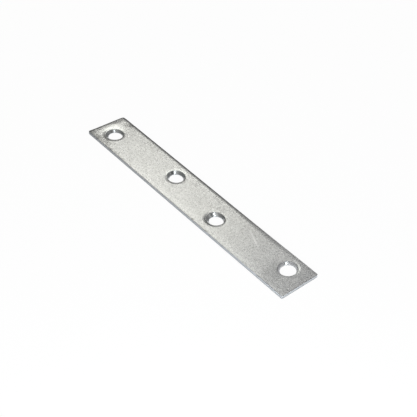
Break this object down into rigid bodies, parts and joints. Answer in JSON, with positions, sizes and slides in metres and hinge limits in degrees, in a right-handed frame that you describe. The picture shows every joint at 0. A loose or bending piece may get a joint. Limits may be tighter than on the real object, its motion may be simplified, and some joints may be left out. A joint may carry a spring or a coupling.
{
  "type": "mending plate",
  "caption": "Flat zinc-plated steel strip with countersunk screw holes set zig-zag on two rows, for joining or mending timber end to end.",
  "frame": {"origin": "middle of the flat underside", "axes": "+X along the strip, +Y across it, +Z through the sheet towards the countersunk face"},
  "size_m": [0.1, 0.016, 0.0012],
  "materials": {
    "zinc_plated_steel": "semi-matt zinc plate on rolled sheet, finely mottled, with smoother blue-grey sheared edges"
  },
  "bodies": {
    "root": {"plate": "zinc_plated_steel"}
  },
  "joints": []
}
